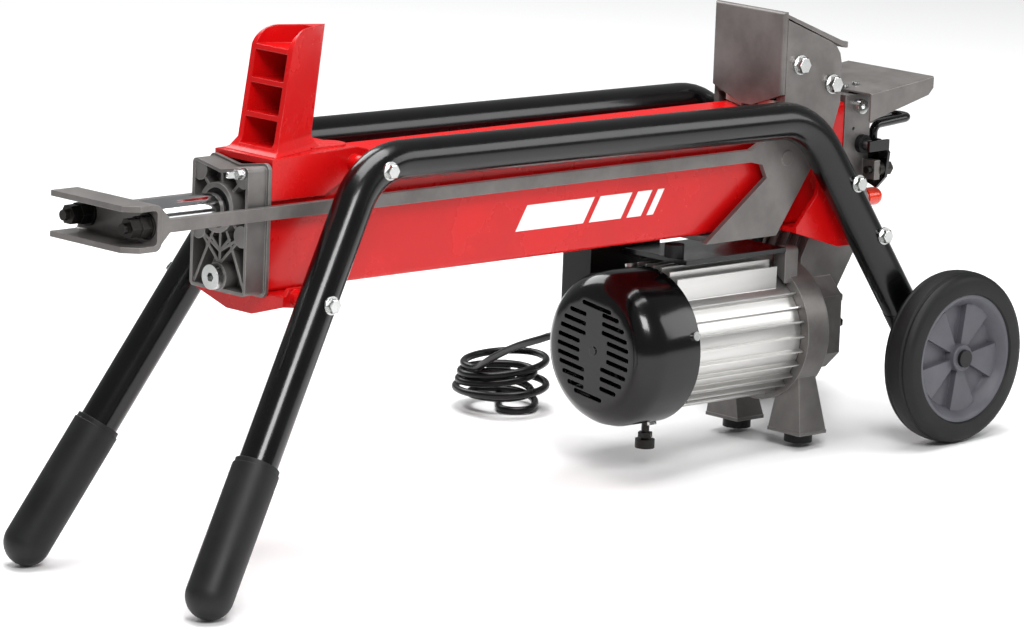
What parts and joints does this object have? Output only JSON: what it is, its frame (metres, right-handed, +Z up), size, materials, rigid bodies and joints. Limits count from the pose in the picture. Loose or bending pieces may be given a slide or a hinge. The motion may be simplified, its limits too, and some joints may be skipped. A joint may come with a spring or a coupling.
{
  "type": "log splitter",
  "caption": "Horizontal electric hydraulic log splitter: wedge on a steel beam, ram with pull bars and pusher, motor and pump underneath, tube legs in front, wheels behind.",
  "frame": {"origin": "on the floor, in the middle of the machine's length and width", "axes": "+Z up, +X from the wedge end to the wheels along the machine, +Y to the far side, where the switch box and cord are"},
  "size_m": [1.1182, 0.5449, 0.5102],
  "materials": {
    "red_paint": "gloss enamel",
    "black_paint": "gloss enamel",
    "grey_paint": "satin enamel",
    "zinc_steel": "zinc plated",
    "dark_steel": "black oxide",
    "chromed_steel": "ground and chromed",
    "bare_steel": "machined",
    "cast_aluminium": "as cast",
    "extruded_aluminium": "as extruded",
    "black_plastic": "moulded",
    "glossy_black": "moulded gloss",
    "grey_plastic": "moulded",
    "white_nylon": "moulded",
    "tyre_rubber": "moulded",
    "black_rubber": "moulded",
    "button_red": "clear gloss"
  },
  "bodies": {
    "frame": {"beam_tank": "red_paint", "cap_seals": "black_rubber", "cord_bundle": "black_rubber", "cord_gland": "black_rubber", "cylinder_barrel": "bare_steel", "drain_plug": "zinc_steel", "end_shield": "cast_aluminium", "fan_cowl": "glossy_black", "foot_grips": "black_rubber", "frame_bolts": "zinc_steel", "frame_tube_far": "black_paint", "frame_tube_near": "black_paint", "front_end_cap": "cast_aluminium", "front_leg_bracket": "red_paint", "front_saddle": "red_paint", "guard_hood": "grey_paint", "hub_caps": "black_plastic", "lever_pivot": "dark_steel", "motor_flange": "cast_aluminium", "motor_mount_plate": "black_paint", "motor_rubber_feet": "black_rubber", "motor_screw_foot": "dark_steel", "power_cord": "black_rubber", "power_plug": "black_rubber", "pump_bolts": "dark_steel", "pump_housing": "cast_aluminium", "rear_leg_bracket": "red_paint", "shaft_bearings": "bare_steel", "small_screws": "zinc_steel", "spool_boot": "black_rubber", "spool_spring": "bare_steel", "stator_core": "bare_steel", "stator_housing": "extruded_aluminium", "switch_box": "black_plastic", "valve_block": "cast_aluminium", "wedge": "red_paint", "wheel_axles": "bare_steel"},
    "ram": {"piston_rod": "chromed_steel", "piston": "bare_steel", "piston_seals": "black_rubber", "cross_head": "grey_paint", "crosshead_bolts": "dark_steel", "tie_bar_far": "grey_paint", "tie_bar_near": "grey_paint", "pusher_plate": "grey_paint", "pusher_block": "grey_paint", "pusher_bolts": "zinc_steel", "pusher_keeper": "grey_paint", "wear_pads": "white_nylon"},
    "far_wheel": {"wheel_tyre_far": "tyre_rubber", "wheel_rim_far": "grey_plastic"},
    "near_wheel": {"wheel_tyre_near": "tyre_rubber", "wheel_rim_near": "grey_plastic"},
    "rotor": {"motor_rotor": "bare_steel", "cooling_fan": "black_plastic"},
    "driven_gear": {"pump_gear_driven": "bare_steel"},
    "lever": {"control_lever": "black_paint"},
    "spool": {"valve_spool": "bare_steel"},
    "bleed": {"bleed_screw": "zinc_steel"},
    "button": {"start_button": "button_red"}
  },
  "joints": [
    {"name": "ram_slide", "type": "slide", "parent": "frame", "child": "ram", "axis": [-0.9986, 0, 0.0536], "range_m": [0, 0.38]},
    {"name": "far_wheel_spin", "type": "hinge", "parent": "frame", "child": "far_wheel", "pos_m": [0.47017, 0.138, 0.0889], "axis": [0, 1, 0], "continuous": true},
    {"name": "near_wheel_spin", "type": "hinge", "parent": "frame", "child": "near_wheel", "pos_m": [0.47017, -0.138, 0.0889], "axis": [0, 1, 0], "continuous": true},
    {"name": "rotor_spin", "type": "hinge", "parent": "frame", "child": "rotor", "pos_m": [0.18879, 0, 0.12662], "axis": [0.9986, 0, -0.0536], "continuous": true},
    {"name": "driven_gear_spin", "type": "hinge", "parent": "frame", "child": "driven_gear", "pos_m": [0.38119, 0, 0.09167], "axis": [0.9986, 0, -0.0536], "continuous": true},
    {"name": "control_lever_turn", "type": "hinge", "parent": "frame", "child": "lever", "pos_m": [0.45406, -0.048, 0.27403], "axis": [-0.9986, 0, 0.0536], "range_deg": [0, 10], "stiffness_Nm_per_rad": 3},
    {"name": "valve_spool_slide", "type": "slide", "parent": "frame", "child": "spool", "axis": [0, 1, 0], "range_m": [0, 0.0046], "deforming": ["spool_spring"]},
    {"name": "bleed_screw_turn", "type": "hinge", "parent": "frame", "child": "bleed", "pos_m": [-0.39815, -0.032, 0.38633], "axis": [-0.9986, 0, 0.0536], "range_deg": [0, 720]},
    {"name": "start_button_press", "type": "slide", "parent": "frame", "child": "button", "axis": [-0.9986, 0, 0.0536], "range_m": [0, 0.004], "stiffness_N_per_m": 900}
  ],
  "couplings": [
    {"joint": "driven_gear_spin", "follows": "rotor_spin", "ratio": -1},
    {"joint": "valve_spool_slide", "follows": "control_lever_turn", "m_per_rad": 0.025}
  ]
}
